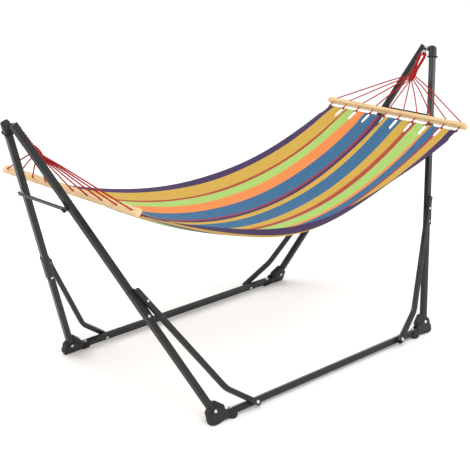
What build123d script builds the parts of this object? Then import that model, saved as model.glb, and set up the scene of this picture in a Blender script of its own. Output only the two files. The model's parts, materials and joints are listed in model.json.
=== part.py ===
from build123d import *
import os
from math import atan2, cos, degrees, hypot, radians, sin, tan

os.makedirs("parts", exist_ok=True)

# ---------------------------------------------------------------- driving dimensions (mm)
foot_x = 630            # leg pivots, half their spacing along the rail
pivot_spacing = 880     # leg pivots, near to far side
pivot_height = 45       # leg pivots above the floor
apex_x = 1152           # leg tops, half their spacing
apex_height = 1138      # hinge line above the floor
apex_offset = 28        # leg axis to hinge line, measured level

leg_size = 25           # square leg and rail tube
tube_wall = 1.5
tube_corner = 4
brace_size = 20         # square brace tube
brace_corner = 3.5
plate = 2               # folded steel brackets
running = 0.1           # radial clearance of pins in their holes
gap = 0.3               # clearance between pieces that move past each other

rail_drop = 25          # rail axis below the leg pivots, in the side plane
rail_half = 590         # half the rail's length
brace_foot_x = 436      # brace rivet on the rail
brace_bend = (-562, 67)         # where the brace's two straight runs would meet
brace_bend_radius = 110
brace_pin_along = 507   # brace pin, measured up the leg from its pivot
brace_pin_aside = 20    # brace pin, from the leg's axis towards the middle
brace_tail = 55         # brace beyond its pin
brace_toe = 15          # brace beyond its rivet on the rail

foot_saddle_x = 549
saddle_radius = 17
saddle_wall = 3.5
saddle_bolt = 3         # bolt radius

rivet_radius = 4
rivet_head = 7
rivet_rise = 3

knuckle_wall = 2.5
knuckle_length = 42
knuckle_round = 7
lug_radius = 8.5
pin_radius = 4
knuckle_lug = 21        # lug thickness along the hinge line
bracket_lug = 4
hook_wire = 3           # wire radius
hook_bend = 13
shank_step = 0.3        # shank drawn down from the eye's wire

strut_along = 955       # strut pivot, measured up the leg
strut_width = 16
strut_thick = 5
strut_standoff = 10     # strut clear of the leg's corner
strut_overhang = 10     # free end beyond the clip

bar_length = 800
bar_width = 30
bar_thick = 18
bar_x = 924             # bar centre from the middle
bar_height = 868
hole_count = 10
hole_pitch = 82
hole_radius = 3
cord_radius = 2.2

loop_length = 95
loop_half = 12
loop_radius = 5.5
clew_length = 52
clew_radius = 13

fabric_mid_height = 650     # cloth edge above the floor at the middle
fabric_belly = 86           # middle of the cloth below its edges
fabric_lean = 0.35          # share of the belly that lies towards the near edge
fabric_end_half = 378       # half width at the ends
fabric_mid_half = 366       # half width at the middle
fabric_thick = 2.4
tab_reach = 18              # cord from the bar's outlet to the hem

# ---------------------------------------------------------------- frames worked out from them
side_tilt = atan2(pivot_spacing / 2 - apex_offset, apex_height - pivot_height)
rise = hypot(pivot_spacing / 2 - apex_offset, apex_height - pivot_height)
near = Plane(
    origin=(0, -pivot_spacing / 2, pivot_height),
    x_dir=(1, 0, 0),
    z_dir=(0, -cos(side_tilt), sin(side_tilt)),
)
outward = near.z_dir
up_side = near.y_dir
foot = near.from_local_coords(Vector(-foot_x, 0, 0))
apex = near.from_local_coords(Vector(-apex_x, rise, 0))
leg_dir = (apex - foot).normalized()
leg_length = (apex - foot).length
inboard = leg_dir.cross(outward)
leg_section = Plane(origin=foot, x_dir=outward, z_dir=leg_dir)
leg_half = leg_size / 2


def at_leg(along, aside, out=0):
    """Point beside the left leg: up its axis, towards the middle, and outwards."""
    return foot + leg_dir * along + inboard * aside + outward * out


def in_side(point):
    """Local pair of a point in the near side plane."""
    local = near.to_local_coords(point)
    return (local.X, local.Y)


def drill(plane, spots, radius, depth):
    """Round holes through the piece, centred on the plane."""
    with BuildSketch(plane.offset(-depth / 2)) as holes:
        with Locations(*spots):
            Circle(radius)
    extrude(holes.sketch, amount=depth, mode=Mode.SUBTRACT)


def rivet(plane, spot, radius, head, inner, outer, head_rise):
    """Shank between two domed heads, along the plane's normal."""
    with BuildPart() as body:
        with BuildSketch(plane.offset(inner)):
            with Locations(spot):
                Circle(radius)
        extrude(amount=outer - inner)
        for level, direction in ((outer, 1), (inner, -1)):
            with BuildPart(mode=Mode.PRIVATE) as dome:
                with BuildSketch(plane.offset(level)):
                    with Locations(spot):
                        Circle(head)
                extrude(amount=head_rise * direction)
                rim = dome.faces().sort_by(Axis(plane.origin, plane.z_dir * direction))[-1]
                fillet(rim.edges(), radius=head_rise * 0.7)
            add(dome.part)
    return body.part


def right_of(piece):
    """The left piece seen in a mirror across the middle."""
    return piece.mirror(Plane.YZ)


def far_of(piece):
    """The near piece turned half round the stand's centre."""
    return piece.rotate(Axis.Z, 180)


def write(name, *pieces):
    """One node, holding one solid or a group of like solids."""
    node = pieces[0] if len(pieces) == 1 else Compound(children=list(pieces))
    node.label = name
    export_step(node, f"parts/{name}.step")


def write_sides(name, *pieces):
    """The near node and its far twin."""
    write(f"{name}_near", *pieces)
    write(f"{name}_far", *[far_of(piece) for piece in pieces])


# ---------------------------------------------------------------- legs
leg_foot = -18
leg_top = leg_length + 6
hook_bolt_along = leg_length - 51

with BuildPart() as leg_envelope:
    with BuildSketch(leg_section.offset(leg_foot)):
        Rectangle(leg_size, leg_size)
    extrude(amount=leg_top - leg_foot)

strut_point = at_leg(strut_along, 0)
end_out = Vector(0, 1, 0).cross((leg_dir - Vector(0, leg_dir.Y, 0)).normalized()) * -1
if end_out.X > 0:
    end_out = end_out * -1
end_plane = Plane(origin=strut_point, x_dir=(0, -1, 0), z_dir=end_out)
brace_pin = in_side(at_leg(brace_pin_along, brace_pin_aside))
bracket_rivet = in_side(at_leg(455, 0))
leg_side_spots = [(-foot_x, 0), bracket_rivet]


def leg_tube():
    with BuildPart() as tube:
        with BuildSketch(leg_section.offset(leg_foot)):
            RectangleRounded(leg_size, leg_size, tube_corner)
            RectangleRounded(
                leg_size - 2 * tube_wall, leg_size - 2 * tube_wall, tube_corner - tube_wall,
                mode=Mode.SUBTRACT,
            )
        extrude(amount=leg_top - leg_foot)
        drill(near, leg_side_spots, rivet_radius + running, 2 * leg_size)
    return tube.part


with BuildPart() as leg_b:
    add(leg_tube())
    drill(near, [in_side(at_leg(hook_bolt_along, 0))], saddle_bolt + running, 2 * leg_size)

with BuildPart() as leg_a:
    add(leg_tube())
    drill(end_plane, [(0, 0)], saddle_bolt + running, 3 * leg_size)

write("leg_near_left", leg_b.part)
write("leg_near_right", right_of(leg_a.part))
write("leg_far_right", far_of(leg_b.part))
write("leg_far_left", far_of(right_of(leg_a.part)))

# ---------------------------------------------------------------- rails
rail_start = near.from_local_coords(Vector(-rail_half, -rail_drop, 0))
rail_level = near.shift_origin(near.from_local_coords(Vector(0, -rail_drop, 0)))
rail_upright = Plane(origin=rail_level.origin, x_dir=(1, 0, 0), z_dir=up_side)

with BuildPart() as rail_envelope:
    with BuildSketch(Plane(origin=rail_start, x_dir=outward, z_dir=(1, 0, 0))):
        Rectangle(leg_size, leg_size)
    extrude(amount=2 * rail_half)

with BuildPart() as rail:
    with BuildSketch(Plane(origin=rail_start, x_dir=outward, z_dir=(1, 0, 0))):
        RectangleRounded(leg_size, leg_size, tube_corner)
        RectangleRounded(
            leg_size - 2 * tube_wall, leg_size - 2 * tube_wall, tube_corner - tube_wall,
            mode=Mode.SUBTRACT,
        )
    extrude(amount=2 * rail_half)
    drill(rail_level, [(-brace_foot_x, 0), (brace_foot_x, 0)], rivet_radius + running, 2 * leg_size)
    drill(
        rail_upright, [(-foot_saddle_x, 0), (foot_saddle_x, 0)], saddle_bolt + running, 2 * leg_size
    )
write_sides("rail", rail.part)

# ---------------------------------------------------------------- braces
brace_out = leg_half + plate + brace_size / 2
brace_plane = near.offset(brace_out)
pin_spot = Vector(*brace_pin)
bend_spot = Vector(*brace_bend)
rail_spot = Vector(-brace_foot_x, -rail_drop)
upper_run = (pin_spot - bend_spot).normalized()
lower_run = (rail_spot - bend_spot).normalized()
brace_top = pin_spot + upper_run * brace_tail
brace_end = rail_spot + lower_run * brace_toe

with BuildPart() as brace:
    with BuildLine(brace_plane) as brace_path:
        FilletPolyline(
            (brace_top.X, brace_top.Y), brace_bend, (brace_end.X, brace_end.Y),
            radius=brace_bend_radius,
        )
    route = brace_path.wires()[0]
    with BuildSketch(Plane(origin=route @ 0, x_dir=outward, z_dir=route % 0)):
        RectangleRounded(brace_size, brace_size, brace_corner)
        RectangleRounded(
            brace_size - 2 * tube_wall, brace_size - 2 * tube_wall, brace_corner - tube_wall,
            mode=Mode.SUBTRACT,
        )
    sweep(path=route)
    drill(
        brace_plane, [brace_pin, (rail_spot.X, rail_spot.Y)], rivet_radius + running,
        2 * brace_size,
    )
write("brace_near_left", brace.part)
write("brace_near_right", right_of(brace.part))
write("brace_far_right", far_of(brace.part))
write("brace_far_left", far_of(right_of(brace.part)))

brace_top_world = brace_plane.from_local_coords(brace_top)
brace_up = near.from_local_coords(upper_run) - near.origin
cap_plane = Plane(origin=brace_top_world, x_dir=outward, z_dir=brace_up)
with BuildPart() as brace_cap:
    with BuildSketch(cap_plane):
        RectangleRounded(brace_size, brace_size, brace_corner)
    extrude(amount=4)
    fillet(brace_cap.faces().sort_by(Axis(cap_plane.origin, cap_plane.z_dir))[-1].edges(), 1.5)
    with BuildSketch(cap_plane):
        RectangleRounded(
            brace_size - 2 * tube_wall - 2 * running, brace_size - 2 * tube_wall - 2 * running,
            brace_corner - tube_wall,
        )
    extrude(amount=-12)
write_sides("brace_caps", brace_cap.part, right_of(brace_cap.part))

# ---------------------------------------------------------------- mid-leg brace brackets
bracket_low = 442
bracket_high = 572
flange_depth = 20
leg_face = Plane(origin=at_leg(0, 0, leg_half), x_dir=leg_dir, z_dir=outward)
with BuildPart() as brace_bracket:
    with BuildSketch(leg_face):
        with Locations(((bracket_low + bracket_high) / 2, 0)):
            RectangleRounded(bracket_high - bracket_low, leg_size + 2 * plate, 3)
        with Locations((brace_pin_along, -brace_pin_aside / 2)):
            RectangleRounded(44, brace_pin_aside + 22, 8)
    extrude(amount=plate)
    with BuildSketch(leg_face.offset(plate / 2)):
        for side in (1, -1):
            with Locations(((bracket_low + bracket_high) / 2, side * (leg_half + plate / 2))):
                Rectangle(bracket_high - bracket_low - 8, plate)
    extrude(amount=-flange_depth)
    drill(near, [bracket_rivet, brace_pin], rivet_radius + running, 2 * leg_size)
write_sides("brace_brackets", brace_bracket.part, right_of(brace_bracket.part))

# ---------------------------------------------------------------- rail-end brackets and boots
bracket_nose_x = foot_saddle_x + saddle_radius + 2
bracket_nose = rail_half - bracket_nose_x
with BuildPart() as rail_bracket:
    for level in (leg_half, -leg_half - plate):
        with BuildSketch(near.offset(level)):
            with Locations((-foot_x, 0)):
                Circle(13)
            with Locations((-foot_x - 16, -rail_drop)):
                Circle(leg_half + plate)
            with Locations((-bracket_nose_x - bracket_nose / 2, -rail_drop)):
                Rectangle(bracket_nose, leg_size + 2 * plate)
            make_hull()
        extrude(amount=plate)
    with BuildSketch(rail_upright.offset(-leg_half - plate)):
        with Locations((-bracket_nose_x - bracket_nose / 2, 0)):
            Rectangle(bracket_nose, leg_size + 2 * plate)
    extrude(amount=plate)
    drill(near, [(-foot_x, 0)], rivet_radius + running, 2 * leg_size)
write_sides("rail_brackets", rail_bracket.part, right_of(rail_bracket.part))

boot_points = [
    (-foot_x - 31, 7),
    (-foot_x - 29, -48),
    (-foot_x + 6, -48),
    (-rail_half - gap, -rail_drop - leg_half - 2),
    (-rail_half - gap, -rail_drop + leg_half),
    (-rail_half + 9, -rail_drop + leg_half),
    (-rail_half + 9, 10),
    (-foot_x + 10, 40),
    (-foot_x - 8, 32),
]
with BuildPart() as boot:
    with BuildSketch(near) as boot_profile:
        with BuildLine():
            Polyline(*boot_points, close=True)
        make_face()
        fillet(boot_profile.vertices().sort_by(Axis.Y)[:2], radius=14)
        fillet(boot_profile.vertices().sort_by(Axis.Y)[-2:], radius=4)
    extrude(amount=leg_half, both=True)
    add(leg_envelope.part, mode=Mode.SUBTRACT)
    drill(near, [(-foot_x, 0)], rivet_radius + running, 2 * leg_size)
    split(bisect_by=Plane.XY)
write_sides("leg_boots", boot.part, right_of(boot.part))

# ---------------------------------------------------------------- saddle feet and bolts
saddle_top = 5
with BuildPart() as saddle:
    with BuildSketch(rail_level):
        with Locations((-foot_saddle_x, 0)):
            Circle(saddle_radius + 10)
            with Locations((0, -10)):
                Circle(saddle_radius + 1, mode=Mode.INTERSECT)
        with Locations((-foot_saddle_x, saddle_top + saddle_radius)):
            Rectangle(3 * saddle_radius, 2 * saddle_radius, mode=Mode.SUBTRACT)
    extrude(amount=leg_half + saddle_wall, both=True)
    add(rail_envelope.part, mode=Mode.SUBTRACT)
    drill(rail_upright, [(-foot_saddle_x, 0)], saddle_bolt + running, 4 * leg_size)
    split(bisect_by=Plane.XY)
write_sides("saddle_feet", saddle.part, right_of(saddle.part))

with BuildPart() as saddle_fixing:
    with BuildSketch(rail_upright.offset(leg_half)):
        with Locations((-foot_saddle_x, 0)):
            Circle(8)
    extrude(amount=1.2)
    with BuildSketch(rail_upright.offset(leg_half + 1.2)):
        with Locations((-foot_saddle_x, 0)):
            RegularPolygon(6.5, 6)
    extrude(amount=4.5)
    with BuildSketch(rail_upright.offset(leg_half)):
        with Locations((-foot_saddle_x, 0)):
            Circle(saddle_bolt)
    extrude(amount=-leg_size - 3)
write_sides("foot_bolts", saddle_fixing.part, right_of(saddle_fixing.part))

# ---------------------------------------------------------------- rivets of a side frame
side_face = leg_half + plate
leg_rivet = rivet(near, (-foot_x, 0), rivet_radius, rivet_head, -side_face, side_face, rivet_rise)
rail_rivet = rivet(
    rail_level, (-brace_foot_x, 0), rivet_radius, rivet_head, -leg_half, brace_out + brace_size / 2,
    rivet_rise,
)
bracket_fixing = rivet(near, bracket_rivet, rivet_radius, 6, -leg_half, side_face, 2.5)
pin_fixing = rivet(
    near, brace_pin, rivet_radius, 5, leg_half, brace_out + brace_size / 2, 2.5
)
write_sides("leg_pivots", leg_rivet, right_of(leg_rivet))
write_sides("brace_rivets", rail_rivet, right_of(rail_rivet))
write_sides("bracket_rivets", bracket_fixing, right_of(bracket_fixing))
write_sides("brace_pins", pin_fixing, right_of(pin_fixing))

# ---------------------------------------------------------------- apex hinge: knuckle, bracket, pin
lug_start = -apex_x - 12
bracket_lug_start = lug_start + knuckle_lug + gap
hinge_yz = (0, apex_height)
knuckle_half = leg_half + knuckle_wall
knuckle_plane = Plane(origin=apex, x_dir=outward * -1, z_dir=inboard)

with BuildPart() as knuckle:
    with BuildSketch(knuckle_plane):
        Circle(knuckle_half)
        with Locations((0, -knuckle_length / 2)):
            Rectangle(2 * knuckle_half, knuckle_length)
    extrude(amount=knuckle_half, both=True)
    fillet(knuckle.edges().group_by(Axis(apex, inboard))[0], knuckle_round)
    fillet(knuckle.edges().group_by(Axis(apex, inboard))[-1], knuckle_round)
    with BuildSketch(knuckle_plane):
        with Locations((0, -knuckle_length + 3)):
            Rectangle(2 * knuckle_half + 4, 7)
    extrude(amount=knuckle_half + 2, both=True)
    with BuildSketch(Plane.YZ.offset(lug_start)):
        with Locations(hinge_yz, (-apex_offset + 6, apex_height - 5)):
            Circle(lug_radius)
        make_hull()
    extrude(amount=knuckle_lug)
    add(leg_envelope.part, mode=Mode.SUBTRACT)
    drill(Plane.YZ.offset(lug_start), [hinge_yz], pin_radius + running, 3 * knuckle_lug)
write("knuckle_near_right", right_of(knuckle.part))
write("knuckle_far_left", far_of(right_of(knuckle.part)))

flange_plate = 2.5
flange_plane = Plane(origin=at_leg(0, 0, -leg_half), x_dir=leg_dir, z_dir=outward * -1)
with BuildPart() as hook_bracket:
    with BuildSketch(flange_plane):
        with Locations((hook_bolt_along + 6, 0)):
            RectangleRounded(56, leg_size - 3, 3)
    extrude(amount=flange_plate)
    with BuildSketch(Plane.YZ.offset(bracket_lug_start)):
        with Locations(hinge_yz):
            Circle(lug_radius)
        with Locations((-apex_offset + 8, apex_height - 30)):
            Circle(7)
        make_hull()
    extrude(amount=bracket_lug)
    add(leg_envelope.part, mode=Mode.SUBTRACT)
    drill(Plane.YZ.offset(lug_start), [hinge_yz], pin_radius + running, 4 * knuckle_lug)
    drill(near, [in_side(at_leg(hook_bolt_along, 0))], saddle_bolt + running, 3 * leg_size)
write("hook_bracket_near", hook_bracket.part)
write("hook_bracket_far", far_of(hook_bracket.part))

with BuildPart() as bracket_bolt:
    bolt_spot = in_side(at_leg(hook_bolt_along, 0))
    with BuildSketch(near.offset(-leg_half - flange_plate)):
        with Locations(bolt_spot):
            RegularPolygon(5.5, 6)
    extrude(amount=-3.5)
    with BuildSketch(near.offset(-leg_half - flange_plate)):
        with Locations(bolt_spot):
            Circle(saddle_bolt)
    extrude(amount=leg_size + flange_plate)
    with BuildSketch(near.offset(leg_half)):
        with Locations(bolt_spot):
            Circle(6)
    extrude(amount=2.5)
    fillet(bracket_bolt.faces().sort_by(Axis(near.origin, outward))[-1].edges(), 1.5)
write_sides("bracket_bolt", bracket_bolt.part)

hook_x = bracket_lug_start + bracket_lug + gap + hook_wire
nut_start = hook_x + hook_wire + gap
with BuildPart() as hinge_pin:
    with BuildSketch(Plane.YZ.offset(lug_start - gap)):
        with Locations(hinge_yz):
            Circle(pin_radius)
    extrude(amount=nut_start + 7 - lug_start + gap)
    with BuildSketch(Plane.YZ.offset(lug_start - gap)):
        with Locations(hinge_yz):
            Circle(7)
    extrude(amount=-3.5)
    fillet(hinge_pin.faces().sort_by(Axis.X)[0].edges(), 2)
    with BuildSketch(Plane.YZ.offset(nut_start)):
        with Locations(hinge_yz):
            RegularPolygon(6.5, 6)
    extrude(amount=5)
write_sides("hinge_pin", hinge_pin.part)

plug_half = leg_half + 0.4
plug_plane = leg_section.offset(leg_top)
with BuildPart() as top_plug:
    with BuildSketch(plug_plane):
        RectangleRounded(2 * plug_half, 2 * plug_half, tube_corner)
    extrude(amount=5)
    fillet(top_plug.faces().sort_by(Axis(apex, leg_dir))[-1].edges(), 2)
    with BuildSketch(plug_plane):
        inner = leg_size - 2 * tube_wall - 2 * running
        RectangleRounded(inner, inner, tube_corner - tube_wall)
    extrude(amount=-12)
write_sides("top_plug", top_plug.part)

# ---------------------------------------------------------------- cross struts
corner_reach = leg_half * (abs(end_out.dot(outward)) + abs(end_out.dot(inboard)))
strut_level = corner_reach + strut_standoff
strut_span = 2 * abs(strut_point.Y)
with BuildPart() as strut:
    with BuildSketch(end_plane.offset(strut_level)):
        with Locations((-(strut_span + strut_overhang) / 2, 0)):
            SlotCenterToCenter(strut_span + strut_overhang, strut_width)
    extrude(amount=strut_thick)
    fillet(strut.edges().group_by(Axis(end_plane.origin, end_out))[-1], 1.5)
    drill(end_plane.offset(strut_level), [(0, 0)], saddle_bolt + running, 4 * strut_thick)
write("strut_right", right_of(strut.part))
write("strut_left", far_of(right_of(strut.part)))

with BuildPart() as strut_pivot:
    with BuildSketch(end_plane.offset(-leg_half - 2)):
        Circle(saddle_bolt)
    extrude(amount=leg_half + 2 + strut_level + strut_thick + gap)
    with BuildSketch(end_plane.offset(strut_level + strut_thick + gap)):
        RegularPolygon(6, 6)
    extrude(amount=4)
    with BuildSketch(end_plane):
        Circle(7)
    extrude(amount=strut_level - gap)
    with BuildPart(mode=Mode.PRIVATE) as leg_cut:
        add(leg_envelope.part)
        with BuildSketch(end_plane.offset(-2 * leg_size)):
            Circle(saddle_bolt)
        extrude(amount=4 * leg_size, mode=Mode.SUBTRACT)
    add(leg_cut.part, mode=Mode.SUBTRACT)
write_sides("strut_bolt", right_of(strut_pivot.part))

clip_width = 14
clip_wall = 4
with BuildPart() as strut_clip:
    with BuildSketch(end_plane.offset(2)):
        with Locations((0, -strut_width / 2 - gap - clip_wall / 2)):
            Rectangle(clip_width, clip_wall)
    extrude(amount=strut_level + strut_thick + gap + 1)
    with BuildSketch(end_plane.offset(strut_level + strut_thick + gap)):
        with Locations((0, -strut_width / 2 - gap - clip_wall + 6)):
            Rectangle(clip_width, 12)
    extrude(amount=3)
    with BuildSketch(end_plane.offset(2)):
        with Locations((0, -4)):
            Rectangle(clip_width, 26)
    extrude(amount=corner_reach)
    add(leg_envelope.part, mode=Mode.SUBTRACT)
write_sides("strut_clip", strut_clip.part)

# ---------------------------------------------------------------- hooks, loops and clews
hook_eye = hook_wire + pin_radius + gap
hook_shank = 10
hook_center = Vector(hook_x + hook_bend, 0, apex_height - hook_eye - hook_shank)
bar_center = Vector(-bar_x, 0, bar_height)
pull = (bar_center - hook_center).normalized()
across_pull = Vector(0, 1, 0).cross(pull)
seat = hook_center + pull * (hook_bend - hook_wire - gap - loop_radius)

with BuildPart() as hook:
    with BuildSketch(Plane.XZ):
        with Locations((hook_x, apex_height + hook_eye)):
            Circle(hook_wire)
    revolve(axis=Axis((0, 0, apex_height), (1, 0, 0)), revolution_arc=360)
    with BuildLine(Plane.XZ) as hook_line:
        shank = Line((hook_x, apex_height - hook_eye), (hook_x, hook_center.Z))
        bend = CenterArc((hook_center.X, hook_center.Z), hook_bend, 180, 195)
        Line(bend @ 1, (bend @ 1) + (bend % 1) * 7)
    hook_route = hook_line.wires()[0]
    with BuildSketch(Plane(origin=hook_route @ 0, z_dir=hook_route % 0)):
        Circle(hook_wire - shank_step)
    sweep(path=hook_route)
write("hook_left", hook.part)
write("hook_right", far_of(hook.part))

loop_plane = Plane(origin=seat, x_dir=(0, 1, 0), z_dir=across_pull * -1)
if loop_plane.y_dir.dot(pull) > 0:
    loop_plane = Plane(origin=seat, x_dir=(0, 1, 0), z_dir=across_pull)
loop_foot = loop_radius + gap
loop_slant = atan2(loop_half - loop_foot, loop_length)
loop_bend = 0.97 * loop_half / tan(radians(90) - (radians(90) - loop_slant) / 2)
with BuildPart() as eye_loop:
    with BuildLine(loop_plane) as loop_line:
        FilletPolyline(
            (-loop_foot, -loop_length), (-loop_half, 0), (loop_half, 0), (loop_foot, -loop_length),
            radius=loop_bend,
        )
    loop_route = loop_line.wires()[0]
    with BuildSketch(Plane(origin=loop_route @ 0, z_dir=loop_route % 0)):
        Circle(loop_radius)
    sweep(path=loop_route)
    with BuildPart(mode=Mode.PRIVATE) as below:
        with BuildSketch(Plane(origin=seat + pull * (loop_length - 1), z_dir=pull)):
            Circle(4 * loop_half)
        extrude(amount=10)
    add(below.part, mode=Mode.SUBTRACT)
write("eye_loop_left", eye_loop.part)
write("eye_loop_right", far_of(eye_loop.part))

clew_start = Plane(origin=seat + pull * (loop_length - 1), x_dir=(0, 1, 0), z_dir=pull)
with BuildPart() as clew:
    with BuildSketch(clew_start):
        Circle(clew_radius)
    extrude(amount=clew_length)
    fillet(clew.edges().group_by(Axis(seat, pull))[0], 2)
    fillet(clew.edges().group_by(Axis(seat, pull))[-1], 2)
write("clew_left", clew.part)
write("clew_right", far_of(clew.part))

# ---------------------------------------------------------------- spreader bars
# The end slope of the cloth, and the holes half way between it and the cords' pull.
cloth_end_guess = Vector(bar_x - 42, 0, bar_height - 23)
cloth_slope = 2 * (cloth_end_guess.Z - fabric_mid_height) / cloth_end_guess.X
cloth_dir = Vector(1, 0, -cloth_slope).normalized()
hole_dir = (pull + cloth_dir).normalized()
bar_plane = Plane(origin=bar_center, x_dir=(0, 1, 0), z_dir=hole_dir)
hole_spots = [((k - (hole_count - 1) / 2) * hole_pitch, 0) for k in range(hole_count)]
with BuildPart() as bar:
    with BuildSketch(bar_plane.offset(-bar_thick / 2)):
        RectangleRounded(bar_length, bar_width, 6)
    extrude(amount=bar_thick)
    fillet(bar.faces().sort_by(Axis(bar_center, hole_dir))[0].edges(), 3)
    fillet(bar.faces().sort_by(Axis(bar_center, hole_dir))[-1].edges(), 3)
    drill(bar_plane, hole_spots, hole_radius, 3 * bar_thick)
write("bar_left", bar.part)
write("bar_right", far_of(bar.part))

# ---------------------------------------------------------------- cords
mouth = bar_thick / 2 + 6
lead = 14
hem_from_bar = bar_center + hole_dir * mouth + cloth_dir * tab_reach
clew_end = clew_start.origin + pull * clew_length
row_normal = clew_start.z_dir.cross(clew_start.x_dir)
row_offset = cord_radius + 0.2
cords = []
for k in range(hole_count):
    place = k - (hole_count - 1) / 2
    row = row_offset if k % 2 else -row_offset
    start = clew_end + Vector(0, place * (cord_radius + 0.15) * 1.1, 0) + row_normal * row
    side = Vector(0, place * hole_pitch, 0)
    points = [
        start,
        start + pull * lead,
        bar_center + side - hole_dir * mouth,
        bar_center + side + hole_dir * mouth,
        hem_from_bar + side,
    ]
    with BuildPart() as cord:
        with BuildLine() as cord_line:
            FilletPolyline(*points, radius=[8, 3, 6])
        cord_route = cord_line.wires()[0]
        with BuildSketch(Plane(origin=cord_route @ 0, z_dir=cord_route % 0)):
            Circle(cord_radius)
        sweep(path=cord_route)
    cords.append(cord.part)
write("cords_left", *cords)
write("cords_right", *[far_of(cord) for cord in cords])

lacing_axis = hem_from_bar + cloth_dir * (cord_radius + gap)
lacing_length = (hole_count - 1) * hole_pitch + 8
with BuildPart() as lacing:
    with BuildSketch(Plane(origin=lacing_axis - Vector(0, lacing_length / 2, 0), z_dir=(0, 1, 0))):
        Circle(cord_radius)
    extrude(amount=lacing_length)
write("lacing_left", lacing.part)
write("lacing_right", far_of(lacing.part))

# ---------------------------------------------------------------- cloth
cloth_end = lacing_axis + cloth_dir * (cord_radius + gap)
half_length = -cloth_end.X
rim_start = 0.80            # share of the half width where the near rim turns up
cloth_steps = 60


def near_half(along):
    """Points across the near half at one place, from the middle outwards.

    The bottom is nearly level in the middle of the cloth's length, and the last
    part before the edge hangs steeply from it."""
    y, z, points = 0, 0, [(0, 0)]
    slack = along**6
    for step in range(1, cloth_steps + 1):
        share = (step - 0.5) / cloth_steps
        level = min(1, max(0, (share - 0.35) / 0.2))
        turn_up = min(1, max(0, (share - rim_start) / (0.98 - rim_start)))
        lean = 2 * share * (1 + fabric_lean * share) - fabric_lean * (1 - share**2)
        slope = fabric_belly * along * lean / fabric_mid_half
        slope *= 1 - 0.85 * slack * level**2 * (3 - 2 * level)
        angle = atan2(slope, 1) + radians(70) * slack * turn_up**2 * (3 - 2 * turn_up)
        y -= cos(angle) * fabric_end_half / cloth_steps
        z += sin(angle) * fabric_end_half / cloth_steps
        points.append((y, z))
    return points


cloth_rows = []
for i in range(13):
    x = half_length * (i - 6) / 6
    along = 1 - (x / half_length) ** 2
    edge_z = cloth_end.Z - (cloth_end.Z - fabric_mid_height) * along
    half_width = fabric_end_half - (fabric_end_half - fabric_mid_half) * along
    bottom_z = edge_z - fabric_belly * along
    row_points = [
        Vector(x, y, bottom_z + z)
        for y, z in near_half(along)[:: cloth_steps // 10][::-1]
    ]
    for j in range(1, 6):
        aside = j / 5
        drop = fabric_belly * along * (1 - aside**2) * (1 - fabric_lean * aside)
        row_points.append(Vector(x, half_width * aside, edge_z - drop))
    cloth_rows.append(row_points)
cloth_face = Face.make_surface_from_array_of_points(cloth_rows)
with BuildPart() as fabric:
    thicken(cloth_face, amount=fabric_thick / 2, both=True)
write("fabric", fabric.part)

print("side tilt", round(degrees(side_tilt), 3), "leg length", round(leg_length, 2))
for title, spot in (
    ("strut pivot", strut_point), ("strut axis", end_out), ("cloth end", cloth_end),
    ("pull", pull), ("hole direction", hole_dir), ("seat", seat), ("clew end", clew_end),
    ("swing line", hook_center + pull * hook_bend),
):
    print(title, *[round(c, 4) for c in spot])
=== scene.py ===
import json
from functools import lru_cache
from math import atan, cos, pi, radians, sin

import bpy
from mathutils import Matrix, Vector


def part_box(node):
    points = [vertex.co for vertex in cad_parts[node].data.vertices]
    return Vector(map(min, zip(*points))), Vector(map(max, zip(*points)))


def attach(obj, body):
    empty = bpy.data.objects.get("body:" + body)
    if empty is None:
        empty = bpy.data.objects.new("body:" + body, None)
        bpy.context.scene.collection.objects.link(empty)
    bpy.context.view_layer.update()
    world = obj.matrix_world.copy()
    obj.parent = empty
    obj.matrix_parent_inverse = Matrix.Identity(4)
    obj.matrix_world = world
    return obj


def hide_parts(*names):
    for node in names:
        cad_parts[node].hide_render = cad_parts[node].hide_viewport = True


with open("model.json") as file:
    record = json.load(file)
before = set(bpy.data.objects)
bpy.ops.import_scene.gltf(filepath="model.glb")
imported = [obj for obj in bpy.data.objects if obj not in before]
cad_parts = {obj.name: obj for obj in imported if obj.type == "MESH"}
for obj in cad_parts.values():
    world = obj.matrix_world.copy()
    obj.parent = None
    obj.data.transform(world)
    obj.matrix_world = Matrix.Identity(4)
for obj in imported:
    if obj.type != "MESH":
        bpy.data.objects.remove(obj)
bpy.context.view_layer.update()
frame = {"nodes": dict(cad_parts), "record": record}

# ---------------------------------------------------------------- camera, floor and lights
# A long lens stands to the left of the near side and a little above it.
# The floor is plain and pale, and the room is lit softly from all round.
bpy.ops.object.camera_add(
    location=(-3.3964, -3.4223, 2.0637),
    rotation=(radians(71.886), 0, radians(-43.989)),
)
camera = bpy.context.object
camera.data.sensor_width = 36
camera.data.lens = 92.86
camera.data.clip_start, camera.data.clip_end = 0.05, 100
bpy.context.scene.camera = camera
bpy.context.scene.view_settings.view_transform = "Standard"

room = bpy.data.worlds.new("pale_room")
bpy.context.scene.world = room
room.use_nodes = True
room.node_tree.nodes["Background"].inputs["Color"].default_value = (1, 1, 1, 1)
room.node_tree.nodes["Background"].inputs["Strength"].default_value = 1.05


def soft_light(name, place, aim, size, power):
    bpy.ops.object.light_add(type="AREA", location=place)
    light = bpy.context.object
    light.name = name
    light.data.shape = "RECTANGLE"
    light.data.size, light.data.size_y = size
    light.data.energy = power
    light.rotation_euler = (Vector(aim) - Vector(place)).to_track_quat("-Z", "Y").to_euler()


soft_light("key_light", (-2.6, -3.4, 4.4), (0, 0, 0.6), (2.4, 2.4), 120)
soft_light("right_light", (4.4, -2.2, 2.6), (0.2, 0, 0.6), (1.2, 3.0), 60)
soft_light("back_light", (-1.5, 4.5, 3.2), (0, 0, 0.7), (3.0, 1.5), 60)

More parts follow.
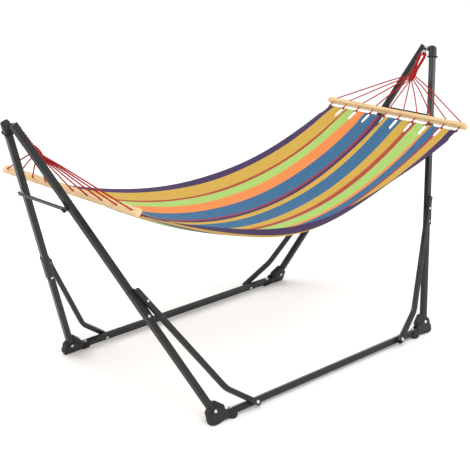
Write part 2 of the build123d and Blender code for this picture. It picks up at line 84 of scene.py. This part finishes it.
bpy.ops.mesh.primitive_plane_add(size=30)
floor = bpy.context.object
floor.name = "floor"
floor_paint = bpy.data.materials.new("floor_paint")
floor_paint.use_nodes = True
floor_surface = floor_paint.node_tree.nodes["Principled BSDF"].inputs
floor_surface["Base Color"].default_value = (0.95, 0.95, 0.95, 1)
floor_surface["Roughness"].default_value = 0.8
floor.data.materials.append(floor_paint)


# ---------------------------------------------------------------- steel frame
# Square steel tubes, folded plates and flat cross struts, powder coated in a
# dark anthracite. The coat has a fine skin and wears a little smoother in places.
class Signal:
    """One socket of a finish, which takes part in sums."""

    def __init__(self, finish, socket):
        self.finish, self.socket = finish, socket

    def sum_with(self, operation, *terms):
        return self.finish.node("ShaderNodeMath", {"operation": operation}, *terms)

    def __add__(self, other):
        return self.sum_with("ADD", self, other)

    __radd__ = __add__

    def __sub__(self, other):
        return self.sum_with("SUBTRACT", self, other)

    def __rsub__(self, other):
        return self.sum_with("SUBTRACT", other, self)

    def __mul__(self, other):
        return self.sum_with("MULTIPLY", self, other)

    __rmul__ = __mul__


class Finish:
    """A material, with its surface shader and a way to add nodes to it."""

    def __init__(self, name, colour, roughness, **constants):
        self.material = bpy.data.materials.new(name)
        self.material.use_nodes = True
        self.tree = self.material.node_tree
        self.surface = self.tree.nodes["Principled BSDF"].inputs
        self.surface["Base Color"].default_value = (*colour, 1)
        self.surface["Roughness"].default_value = roughness
        for socket, value in constants.items():
            self.surface[socket.replace("_", " ")].default_value = value

    def node(self, kind, settings=None, *values, output=0, **named):
        made = self.tree.nodes.new(kind)
        for key, value in (settings or {}).items():
            if key == "stops":
                ramp = made.color_ramp
                while len(ramp.elements) < len(value):
                    ramp.elements.new(1)
                for element, (place, colour) in zip(ramp.elements, value):
                    element.position, element.color = place, (*colour, 1)
            elif key == "steps":
                made.color_ramp.interpolation = value
            else:
                setattr(made, key, value)
        for key, value in [*enumerate(values), *named.items()]:
            socket = made.inputs[key.replace("_", " ") if isinstance(key, str) else key]
            if isinstance(value, Signal):
                self.tree.links.new(value.socket, socket)
            elif value is not None:
                socket.default_value = value
        return Signal(self, made.outputs[output])

    def mix(self, share, first, second):
        made = self.tree.nodes.new("ShaderNodeMix")
        made.data_type = "RGBA"
        for index, value in ((0, share), (6, first), (7, second)):
            if isinstance(value, Signal):
                self.tree.links.new(value.socket, made.inputs[index])
            else:
                made.inputs[index].default_value = value if index == 0 else (*value, 1)
        return Signal(self, made.outputs[2])

    def noise(self, scale, detail=3, stretch=(1, 1, 1), source="Object"):
        place = self.node("ShaderNodeTexCoord", output=source)
        place = self.node("ShaderNodeMapping", None, place, Scale=stretch)
        return self.node(
            "ShaderNodeTexNoise", None, Vector=place, Scale=scale, Detail=detail, output="Fac"
        )

    def feed(self, **signals):
        for socket, signal in signals.items():
            self.tree.links.new(signal.socket, self.surface[socket.replace("_", " ")])

    def relief(self, height, distance, strength=1.0):
        bump = self.node(
            "ShaderNodeBump", None, Height=height, Distance=distance, Strength=strength,
            output="Normal",
        )
        self.feed(Normal=bump)


powder_coat = Finish(
    "powder_coat", (0.014, 0.015, 0.015), 0.42,
    Specular_IOR_Level=0.22, Coat_Weight=0.15, Coat_Roughness=0.1,
)
coat_skin = powder_coat.noise(700, 2)
coat_worn = powder_coat.noise(9, 4)
powder_coat.feed(
    Base_Color=powder_coat.mix(coat_worn, (0.009, 0.010, 0.010), (0.018, 0.019, 0.018)),
    Roughness=0.30 + 0.16 * coat_worn + 0.08 * coat_skin,
)
powder_coat.relief(coat_skin, 0.0002, 0.5)

# ---------------------------------------------------------------- plastic mouldings
# Boots, saddle feet, end caps, top plugs and hinge knuckles, moulded in a
# black plastic with a fine matt grain.
black_plastic = Finish("black_plastic", (0.012, 0.012, 0.013), 0.5, Specular_IOR_Level=0.25)
plastic_grain = black_plastic.noise(1400, 2)
plastic_cloud = black_plastic.noise(30, 3)
black_plastic.feed(
    Base_Color=black_plastic.mix(plastic_cloud, (0.007, 0.007, 0.008), (0.018, 0.018, 0.019)),
    Roughness=0.42 + 0.14 * plastic_grain,
)
black_plastic.relief(plastic_grain, 0.0002, 0.6)

# ---------------------------------------------------------------- plated steel
# Rivets, bolts, pins, clips and the hooks, in bright zinc plate that has
# dulled unevenly.
zinc_steel = Finish("zinc_steel", (0.62, 0.64, 0.66), 0.3, Metallic=1.0)
zinc_cloud = zinc_steel.noise(160, 4)
zinc_scratch = zinc_steel.noise(300, 2, (1, 9, 1))
zinc_steel.feed(
    Base_Color=zinc_steel.mix(zinc_cloud, (0.48, 0.50, 0.52), (0.78, 0.79, 0.80)),
    Roughness=0.20 + 0.22 * zinc_cloud + 0.08 * zinc_scratch,
)
zinc_steel.relief(zinc_scratch, 0.0001, 0.4)

# ---------------------------------------------------------------- spreader bars
# Planed pine with its edges rounded over, clear finished. The grain runs
# along the bar, with darker late wood lines and the odd flame.
pine = Finish("pine", (0.78, 0.56, 0.32), 0.5)
pine_drift = pine.noise(5, 2, (4, 1, 4))
pine_place = pine.node("ShaderNodeTexCoord", output="Object")
pine_place = pine.node("ShaderNodeSeparateXYZ", None, pine_place, output="Z")
pine_rings = pine.node(
    "ShaderNodeMath", {"operation": "SINE"}, pine_place * 620 + pine_drift * 26
)
pine_fibre = pine.noise(60, 5, (14, 0.7, 14))
pine_tone = 0.5 * pine_fibre + 0.22 * pine_rings + 0.25
pine.feed(
    Base_Color=pine.mix(pine_tone, (0.76, 0.56, 0.30), (0.55, 0.34, 0.14)),
    Roughness=0.42 + 0.16 * pine_fibre,
)
pine.relief(pine_fibre, 0.0004, 0.4)

finishes = {
    "powder_coat": powder_coat, "black_plastic": black_plastic,
    "zinc_steel": zinc_steel, "pine": pine,
}
for row in frame["record"]["subparts"]:
    if row["material_slot"] in finishes:
        piece = frame["nodes"][row["node"]]
        piece.data.materials.clear()
        piece.data.materials.append(finishes[row["material_slot"]].material)

# ---------------------------------------------------------------- cloth
# One length of striped cotton, plain woven, with purple selvedges. It hangs
# deepest in the middle. Each end is cut into nine tabs, and each tab is
# folded back round the lacing cord and sewn down.
half_length = 0.891122      # middle to the hem line
end_height = 0.849493
edge_height = 0.650         # long edges above the floor at the middle
belly = 0.086
lean = 0.35                 # share of the belly towards the near edge
hole_pitch = 0.082
half_width_end = 4.5 * hole_pitch + 0.009
half_width_mid = 0.366
cloth_thick = 0.0011
tab_count = 9
slit_depth = 0.058
slit_mouth = 0.020
slit_roundness = 0.3
ease_length = 0.25          # from the hem to where the cloth hangs freely
gather_height, ripple_height = 0.0035, 0.0012
settle_length = 0.010       # over which the turned flap comes to lie on the cloth
roll_radius = 0.0036        # folded hem round the lacing cord
flap = 0.026                # cloth turned back under the tab

end_slope = 2 * (end_height - edge_height) / half_length
roll_steps, flap_steps, body_rows = 8, 4, 172
columns_per_tab = 18
column = hole_pitch / columns_per_tab
columns = tab_count * columns_per_tab + 4
rows = body_rows + 2 * (roll_steps + flap_steps)


rim_start, rim_full = 0.80, 0.98    # shares where the near rim turns up
rim_turn = radians(70)
level_start, level_run = 0.35, 0.20
slack_power, flatten = 3.5, 0.85    # the near half lies flatter towards the middle
section_steps = 60


@lru_cache(maxsize=None)
def near_section(along):
    """Points across the near half, from the middle line out to the rim."""
    y, z, points = 0.0, 0.0, [(0.0, 0.0)]
    slack = along**slack_power
    for step in range(section_steps):
        share = (step + 0.5) / section_steps
        level = min(1, max(0, (share - level_start) / level_run))
        rim = min(1, max(0, (share - rim_start) / (rim_full - rim_start)))
        shape = 2 * share * (1 + lean * share) - lean * (1 - share**2)
        slope = belly * along * shape / half_width_mid
        slope *= 1 - flatten * slack * level**2 * (3 - 2 * level)
        angle = atan(slope) + rim_turn * slack * rim**2 * (3 - 2 * rim)
        y -= cos(angle) * half_width_end / section_steps
        z += sin(angle) * half_width_end / section_steps
        points.append((y, z))
    return points


def hanging_point(x, aside):
    """The cloth's middle layer at a distance along and a share across."""
    along = 1 - (x / half_length) ** 2
    half_width = half_width_end - (half_width_end - half_width_mid) * along
    edge = end_height - (end_height - edge_height) * along
    sag = belly * along * (1 - aside**2) * (1 - lean * aside)
    ease = min(1, (half_length - abs(x)) / ease_length)
    gather = gather_height * (1 - ease) ** 2 * ease**0.5 * 4 * cos(2 * pi * aside * tab_count / 2 * 1.02)
    ripple = ripple_height * sin(9 * x + 4 * aside) * sin(23 * aside + 3 * x) * ease
    if aside >= 0:
        return Vector((x, half_width * aside, edge - sag + gather + ripple))
    spot = min(-aside, 1) * section_steps
    inner = min(int(spot), section_steps - 1)
    (y0, z0), (y1, z1) = near_section(along)[inner:inner + 2]
    y, z = y0 + (y1 - y0) * (spot - inner), z0 + (z1 - z0) * (spot - inner)
    return Vector((x, y, edge - belly * along + z + gather + ripple))


def along_row(row):
    """Where a row of the grid lies: distance from the middle, then round the fold."""
    side = 1 if row > rows / 2 else -1
    inner = row - (roll_steps + flap_steps) if side < 0 else rows - row - (roll_steps + flap_steps)
    if inner >= 0:
        share = 2 * inner / body_rows - 1
        return side * half_length * -(1.2 * share - 0.2 * share**3), 0.0, 0.0
    step = -inner
    if step <= roll_steps:
        return side * half_length, pi * step / roll_steps, 0.0
    return side * half_length, pi, flap * (step - roll_steps) / flap_steps


bpy.ops.object.select_all(action="DESELECT")
bpy.ops.mesh.primitive_grid_add(x_subdivisions=rows, y_subdivisions=columns, size=2)
cloth = bpy.context.object
cloth.name = "cloth"

slits = [
    2 * (2 + k * columns_per_tab) / columns - 1 for k in range(1, tab_count)
]
bpy.ops.object.mode_set(mode="EDIT")
bpy.ops.mesh.select_all(action="DESELECT")
bpy.ops.object.mode_set(mode="OBJECT")


def flat_distance(grid_x):
    """Distance of a row from the hem line, towards the middle of the cloth."""
    x, turn, back = along_row(round((grid_x + 1) / 2 * rows))
    return back if turn else half_length - abs(x)


for edge in cloth.data.edges:
    first, second = (cloth.data.vertices[v].co for v in edge.vertices)
    if abs(first.y - second.y) < 1e-6 and min(abs(first.y - s) for s in slits) < 1e-4:
        edge.select = max(flat_distance(first.x), flat_distance(second.x)) < slit_depth
bpy.ops.object.mode_set(mode="EDIT")
bpy.ops.mesh.select_mode(type="EDGE")
bpy.ops.mesh.edge_split(type="EDGE")
bpy.ops.object.mode_set(mode="OBJECT")

# Which side of a slit each of its corners belongs to.
tab_of = {}
for face in cloth.data.polygons:
    for v in face.vertices:
        tab_of.setdefault(v, []).append(face.center.y)
for vertex in cloth.data.vertices:
    row = round((vertex.co.x + 1) / 2 * rows)
    place = (vertex.co.y + 1) / 2 * columns - 2
    x, turn, back = along_row(row)
    centre_y = sum(tab_of[vertex.index]) / len(tab_of[vertex.index])
    inside = (centre_y + 1) / 2 * columns - 2
    tab = min(max(int(inside // columns_per_tab), 0), tab_count - 1)
    middle = (tab + 0.5) * columns_per_tab
    distance = back if turn else half_length - abs(x)
    opening = slit_mouth * max(0, 1 - distance / slit_depth) ** slit_roundness
    local = max(-0.5, min(0.5, (place - middle) / columns_per_tab))
    squeeze = -opening * local
    flat_y = (place - tab_count * columns_per_tab / 2) * column
    aside = flat_y / half_width_end
    side = 1 if x > 0 else -1
    spot = hanging_point(x - side * back, aside)
    tangent = Vector((side, 0, end_slope)).normalized()
    upward = Vector((-tangent.z * side, 0, tangent.x * side))
    if turn:
        centre = hanging_point(x, aside) - upward * roll_radius
        if back:
            settle = min(1, back / settle_length)
            lift = 2 * roll_radius * (1 - settle) + (cloth_thick + 0.0004) * settle
            spot = spot - upward * lift
        else:
            spot = centre + (upward * cos(turn) + tangent * sin(turn)) * roll_radius
    spot.y += squeeze
    vertex.co = spot

for polygon in cloth.data.polygons:
    polygon.use_smooth = True
wall = cloth.modifiers.new("wall", "SOLIDIFY")
wall.thickness, wall.offset = cloth_thick, 0
bpy.ops.object.modifier_apply(modifier="wall")

# Stripes from the far edge to the near one: where each ends, and its colour.
purple, mustard, brick = (0.038, 0.012, 0.080), (0.60, 0.36, 0.045), (0.40, 0.045, 0.018)
lime, orange, blue = (0.38, 0.58, 0.13), (0.82, 0.24, 0.050), (0.020, 0.125, 0.26)
crimson = (0.30, 0.018, 0.050)
stripes = [
    (0.000, purple), (0.050, mustard), (0.146, brick), (0.166, lime), (0.230, orange),
    (0.310, blue), (0.412, crimson), (0.426, purple), (0.450, mustard), (0.491, blue),
    (0.593, mustard), (0.657, brick), (0.698, lime), (0.783, orange), (0.808, blue),
    (0.864, crimson), (0.882, mustard), (0.953, purple),
]
striped_cloth = Finish(
    "striped_cloth", mustard, 0.85,
    Sheen_Weight=0.04, Sheen_Roughness=0.5, Specular_IOR_Level=0.15,
)
cloth_flat = striped_cloth.node("ShaderNodeUVMap", {"uv_map": "UVMap"})
cloth_across = 1 - striped_cloth.node("ShaderNodeSeparateXYZ", None, cloth_flat, output="Y")
cloth_along = striped_cloth.node("ShaderNodeSeparateXYZ", None, cloth_flat, output="X")
cloth_dye = striped_cloth.node(
    "ShaderNodeValToRGB", {"stops": stripes, "steps": "CONSTANT"}, cloth_across, output="Color"
)


def cloth_noise(scale, detail, stretch):
    place = striped_cloth.node("ShaderNodeMapping", None, cloth_flat, Scale=stretch)
    return striped_cloth.node(
        "ShaderNodeTexNoise", None, Vector=place, Scale=scale, Detail=detail, output="Fac"
    )


def thread_wave(way, count):
    return striped_cloth.node("ShaderNodeMath", {"operation": "SINE"}, way * (2 * pi * count))


warp_slub = cloth_noise(1, 4, (26, 420, 1))
weft_slub = cloth_noise(1, 4, (700, 14, 1))
weave = thread_wave(cloth_across, 380) * thread_wave(cloth_along, 900)
# The slubs vary the yarn's tone at random; the weave term is painted shade between the threads,
# following the weave's relief.
slub_tone_and_weave_shade = 0.5 + 0.9 * (warp_slub - 0.5) + 0.8 * (weft_slub - 0.5) + 0.10 * weave
cloth_dark = striped_cloth.mix(0.26, cloth_dye, (0.02, 0.015, 0.02))
cloth_light = striped_cloth.mix(0.04, cloth_dye, (1.0, 0.95, 0.85))
striped_cloth.feed(
    Base_Color=striped_cloth.mix(slub_tone_and_weave_shade, cloth_dark, cloth_light),
    Roughness=0.78 + 0.16 * weft_slub,
)
striped_cloth.relief(weave * 0.5 + warp_slub + weft_slub, 0.0006, 0.5)
cloth.data.materials.append(striped_cloth.material)
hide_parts("fabric")
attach(cloth, "hammock")

# ---------------------------------------------------------------- cords
# Ten twisted cotton cords at each end fan out from the clew, pass through
# the bar, and hook round the lacing cord in the slits between the tabs.
cord_radius = 0.0028
seat = Vector((-1.119806, 0, 1.117397))         # middle of the eye loop's top
pull = Vector((0.6175, 0, -0.7865)).normalized()
hole_way = Vector((0.7895, 0, -0.6137)).normalized()
cloth_way = Vector((1, 0, -end_slope)).normalized()
bar_low, bar_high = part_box("bar_left")
bar_middle = (bar_low + bar_high) / 2
clew_end = seat + pull * 0.147
mouth = 0.015
above_cloth = Vector((end_slope, 0, 1)).normalized()
lacing_line = Vector((-half_length, 0, end_height)) - above_cloth * roll_radius
lacing_peak = 0.008         # how far the cords draw the lacing up in a slit


def cord_finish(name, turns, strands=2):
    """Red cotton twisted from a few strands, which run round it as the lay. The grooves between the
    strands carry painted shade.
    """
    finish = Finish(name, (0.50, 0.02, 0.015), 0.75, Specular_IOR_Level=0.25)
    flat = finish.node("ShaderNodeUVMap", {"uv_map": "UVMap"})
    around = finish.node("ShaderNodeSeparateXYZ", None, flat, output="X")
    length = finish.node("ShaderNodeSeparateXYZ", None, flat, output="Y")
    lay = finish.node(
        "ShaderNodeMath", {"operation": "SINE"},
        around * (2 * pi * strands) + length * (2 * pi * turns),
    )
    fuzz = finish.noise(900, 3)
    # The grooves between the strands are painted darker as painted shade; the fuzz varies the tone at
    # random.
    groove = lay * 0.5 + 0.5
    groove_shade_and_fuzz_tone = 0.75 * groove + 0.5 * fuzz - 0.1
    finish.feed(
        Base_Color=finish.mix(groove_shade_and_fuzz_tone, (0.22, 0.006, 0.005), (0.60, 0.022, 0.014)),
        Roughness=0.68 + 0.2 * fuzz,
    )
    finish.relief(groove + 0.3 * fuzz, 0.0008, 0.7)
    return finish.material


def tube(name, points, radius, sides=3, smooth=8, order=3):
    """A round cord along one smooth curve."""
    curve = bpy.data.curves.new(name, "CURVE")
    curve.dimensions = "3D"
    curve.bevel_depth, curve.bevel_resolution = radius, sides
    curve.resolution_u = smooth
    curve.use_fill_caps = True
    line = curve.splines.new("NURBS")
    line.points.add(len(points) - 1)
    for knot, point in zip(line.points, points):
        knot.co = (*point, 1)
    line.order_u = order
    line.use_endpoint_u = True
    made = bpy.data.objects.new(name, curve)
    bpy.context.scene.collection.objects.link(made)
    bpy.ops.object.select_all(action="DESELECT")
    made.select_set(True)
    bpy.context.view_layer.objects.active = made
    bpy.ops.object.convert(target="MESH")
    bpy.ops.object.mode_set(mode="EDIT")
    bpy.ops.mesh.select_all(action="SELECT")
    bpy.ops.mesh.remove_doubles(threshold=1e-6)
    bpy.ops.mesh.normals_make_consistent(inside=False)
    bpy.ops.object.mode_set(mode="OBJECT")
    bpy.ops.object.shade_smooth()
    return made


def join_up(name, parts):
    """Several cords made one piece."""
    bpy.ops.object.select_all(action="DESELECT")
    for part in parts:
        part.select_set(True)
    bpy.context.view_layer.objects.active = parts[0]
    bpy.ops.object.join()
    parts[0].name = name
    return parts[0]


def other_end(piece, name):
    """A copy at the right-hand end, turned half round the upright middle line."""
    twin = piece.copy()
    twin.data = piece.data.copy()
    twin.name = name
    bpy.context.scene.collection.objects.link(twin)
    twin.data.transform(Matrix.Rotation(pi, 4, "Z"))
    return twin


def dress(piece, material, *nodes):
    piece.data.materials.clear()
    piece.data.materials.append(material)
    for polygon in piece.data.polygons:
        polygon.material_index = 0
    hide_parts(*nodes)
    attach(piece, "hammock")


fan_start = 0.0018          # spacing of the cords' heads inside the clew
clew_spread = 0.0105        # outermost cord from the clew's middle line
early_leave = 0.032         # how much higher the outermost cord leaves the clew
hitch_along, hitch_around = 0.0052, 0.0046
cords = []
for k in range(10):
    place = k - 4.5
    side = Vector((0, place * hole_pitch, 0))
    level = 0.010 if k % 2 else 0.0
    start = clew_end - pull * (0.018 + level) + Vector((0, place * fan_start, 0))
    outlet = bar_middle + side + hole_way * mouth
    hem = lacing_line + side - cloth_way * (lacing_peak + 0.001)
    inlet = bar_middle + side - hole_way * mouth
    fan = (inlet - clew_end).normalized()
    outer = place / 4.5
    edge = pull * (0.004 - early_leave * abs(outer)) + Vector((0, outer * clew_spread, 0))
    cords.append(tube(
        f"cord_{k}",
        [
            start, clew_end + edge - pull * 0.004, clew_end + edge + fan * 0.012,
            clew_end + edge + fan * 0.1, inlet - fan * 0.02, inlet, bar_middle + side, outlet,
            outlet * 0.5 + hem * 0.5, hem,
        ],
        cord_radius, 2, 6,
    ))
    # The cord's end passes round the lacing and is hitched on itself.
    ring = []
    for step in range(9):
        turn = 2 * pi * step / 8 + 0.4
        ring.append(
            hem + cloth_way * (hitch_along * cos(turn) + 0.0025)
            + Vector((0, 0.0020 * cos(turn / 2), 0))
            + cloth_way.cross(Vector((0, 1, 0))) * hitch_around * sin(turn)
        )
    cords.append(tube(f"hitch_{k}", ring, cord_radius, 2, 4))
suspension_left = join_up("suspension_cords_left", cords)
suspension_right = other_end(suspension_left, "suspension_cords_right")
fan_finish = cord_finish("fan_cord", 46)
dress(suspension_left, fan_finish, "cords_left")
dress(suspension_right, fan_finish, "cords_right")

# ---------------------------------------------------------------- lacing cords
# One cord runs through all the folded tabs of an end, and is drawn up
# between them where the suspension cords hook on. Its ends run a little past the outer tabs.
lacing_points = []
edge_overhang = 0.006
lacing_points.append(lacing_line + Vector((0, -4.5 * hole_pitch - edge_overhang, 0)))
for k in range(10):
    y = (k - 4.5) * hole_pitch
    reach = 0.5 * slit_mouth
    half_lift, full_lift = 0.5, 1.15
    for shift, lift in (
        (-reach - 0.004, 0), (-reach * 0.5, half_lift), (0, full_lift),
        (reach * 0.5, half_lift), (reach + 0.004, 0),
    ):
        if (k == 0 and shift < 0) or (k == 9 and shift > 0):
            continue
        lacing_points.append(
            lacing_line + Vector((0, y + shift, 0)) - cloth_way * lacing_peak * lift
        )
lacing_points.append(lacing_line + Vector((0, 4.5 * hole_pitch + edge_overhang, 0)))
lacing_left = tube("lacing_left_cord", lacing_points, cord_radius, 2, 6)
lacing_right = other_end(lacing_left, "lacing_right_cord")
lacing_finish = cord_finish("lacing_cord", 60)
dress(lacing_left, lacing_finish, "lacing_left")
dress(lacing_right, lacing_finish, "lacing_right")

# ---------------------------------------------------------------- eye loops
# The thick rope loop that hangs on the hook: three strands laid round each
# other, with its two legs bound together above the clew.
loop_across = Vector((0, 1, 0))
loop_outline = [
    (-0.0062, 0.104), (-0.0075, 0.078), (-0.0115, 0.048), (-0.0150, 0.016), (-0.0120, 0.0),
    (0.0120, 0.0), (0.0150, 0.016), (0.0115, 0.048), (0.0075, 0.078), (0.0062, 0.104),
]
guide = bpy.data.curves.new("loop_guide", "CURVE")
guide.dimensions = "3D"
guide.resolution_u = 12
line = guide.splines.new("NURBS")
line.points.add(len(loop_outline) - 1)
for knot, (aside, down) in zip(line.points, loop_outline):
    knot.co = (*(seat + loop_across * aside + pull * down), 1)
line.order_u = 3
line.use_endpoint_u = True
guide_object = bpy.data.objects.new("loop_guide", guide)
guide_mesh = bpy.data.meshes.new_from_object(guide_object)
route = [v.co.copy() for v in guide_mesh.vertices]
bpy.data.objects.remove(guide_object)
bpy.data.meshes.remove(guide_mesh)
bpy.data.curves.remove(guide)

lay_pitch, strand_offset, strand_radius = 0.042, 0.0037, 0.0034
out_of_loop = loop_across.cross(pull)
strands = []
for strand in range(3):
    walked, points = 0.0, []
    for index, point in enumerate(route):
        ahead = route[min(index + 1, len(route) - 1)] - route[max(index - 1, 0)]
        flank = ahead.normalized().cross(out_of_loop)
        turn = 2 * pi * (walked / lay_pitch + strand / 3)
        points.append(point + (flank * cos(turn) + out_of_loop * sin(turn)) * strand_offset)
        if index + 1 < len(route):
            walked += (route[index + 1] - point).length
    strands.append(tube(f"strand_{strand}", points, strand_radius, 3, 2))
eye_left = join_up("rope_eye_left", strands)
eye_right = other_end(eye_left, "rope_eye_right")
rope_finish = cord_finish("rope_strand", 70, 3)
dress(eye_left, rope_finish, "eye_loop_left")
dress(eye_right, rope_finish, "eye_loop_right")

# ---------------------------------------------------------------- clews
# The loop's foot and the heads of the ten cords, bound together under tight
# turns of the same cord. The knot is fullest in its middle.
clew_length = 0.060
clew_top = seat + pull * 0.084


def clew_swell(share):
    """The bundle's radius down the clew."""
    return 0.0098 + 0.0040 * sin(pi * min(1, share * 1.05)) + 0.001 * share


wraps = []
turn_count = 13
for step in range(turn_count * 12 + 1):
    share = step / (turn_count * 12)
    turn = 2 * pi * turn_count * share
    wobble = 1 + 0.05 * sin(3.3 * turn / 7)
    reach = clew_swell(share) * wobble
    wraps.append(
        clew_top + pull * clew_length * share
        + loop_across * reach * cos(turn) + out_of_loop * reach * 0.86 * sin(turn)
    )
binding = tube("binding", wraps, 0.0018, 2, 2)
bpy.ops.mesh.primitive_cylinder_add(vertices=24, radius=1, depth=1)
core = bpy.context.object
bpy.ops.object.mode_set(mode="EDIT")
bpy.ops.mesh.select_all(action="DESELECT")
bpy.ops.object.mode_set(mode="OBJECT")
for edge in core.data.edges:
    ends = [core.data.vertices[v].co for v in edge.vertices]
    edge.select = abs(ends[0].z - ends[1].z) > 0.5
bpy.ops.object.mode_set(mode="EDIT")
bpy.ops.mesh.select_mode(type="EDGE")
bpy.ops.mesh.subdivide(number_cuts=10)
bpy.ops.object.mode_set(mode="OBJECT")
for vertex in core.data.vertices:
    share = vertex.co.z + 0.5
    closing = 0.72 if share < 0.01 or share > 0.99 else 0.98
    reach = clew_swell(share) * closing
    vertex.co = (
        clew_top + pull * clew_length * share
        + loop_across * vertex.co.x * reach + out_of_loop * vertex.co.y * reach * 0.86
    )
bpy.ops.object.mode_set(mode="EDIT")
bpy.ops.mesh.select_all(action="SELECT")
bpy.ops.mesh.normals_make_consistent(inside=False)
bpy.ops.object.mode_set(mode="OBJECT")
bpy.ops.object.shade_smooth()
clew_left_knot = join_up("clew_left_knot", [binding, core])
clew_right_knot = other_end(clew_left_knot, "clew_right_knot")
binding_finish = cord_finish("binding_cord", 190)
dress(clew_left_knot, binding_finish, "clew_left")
dress(clew_right_knot, binding_finish, "clew_right")
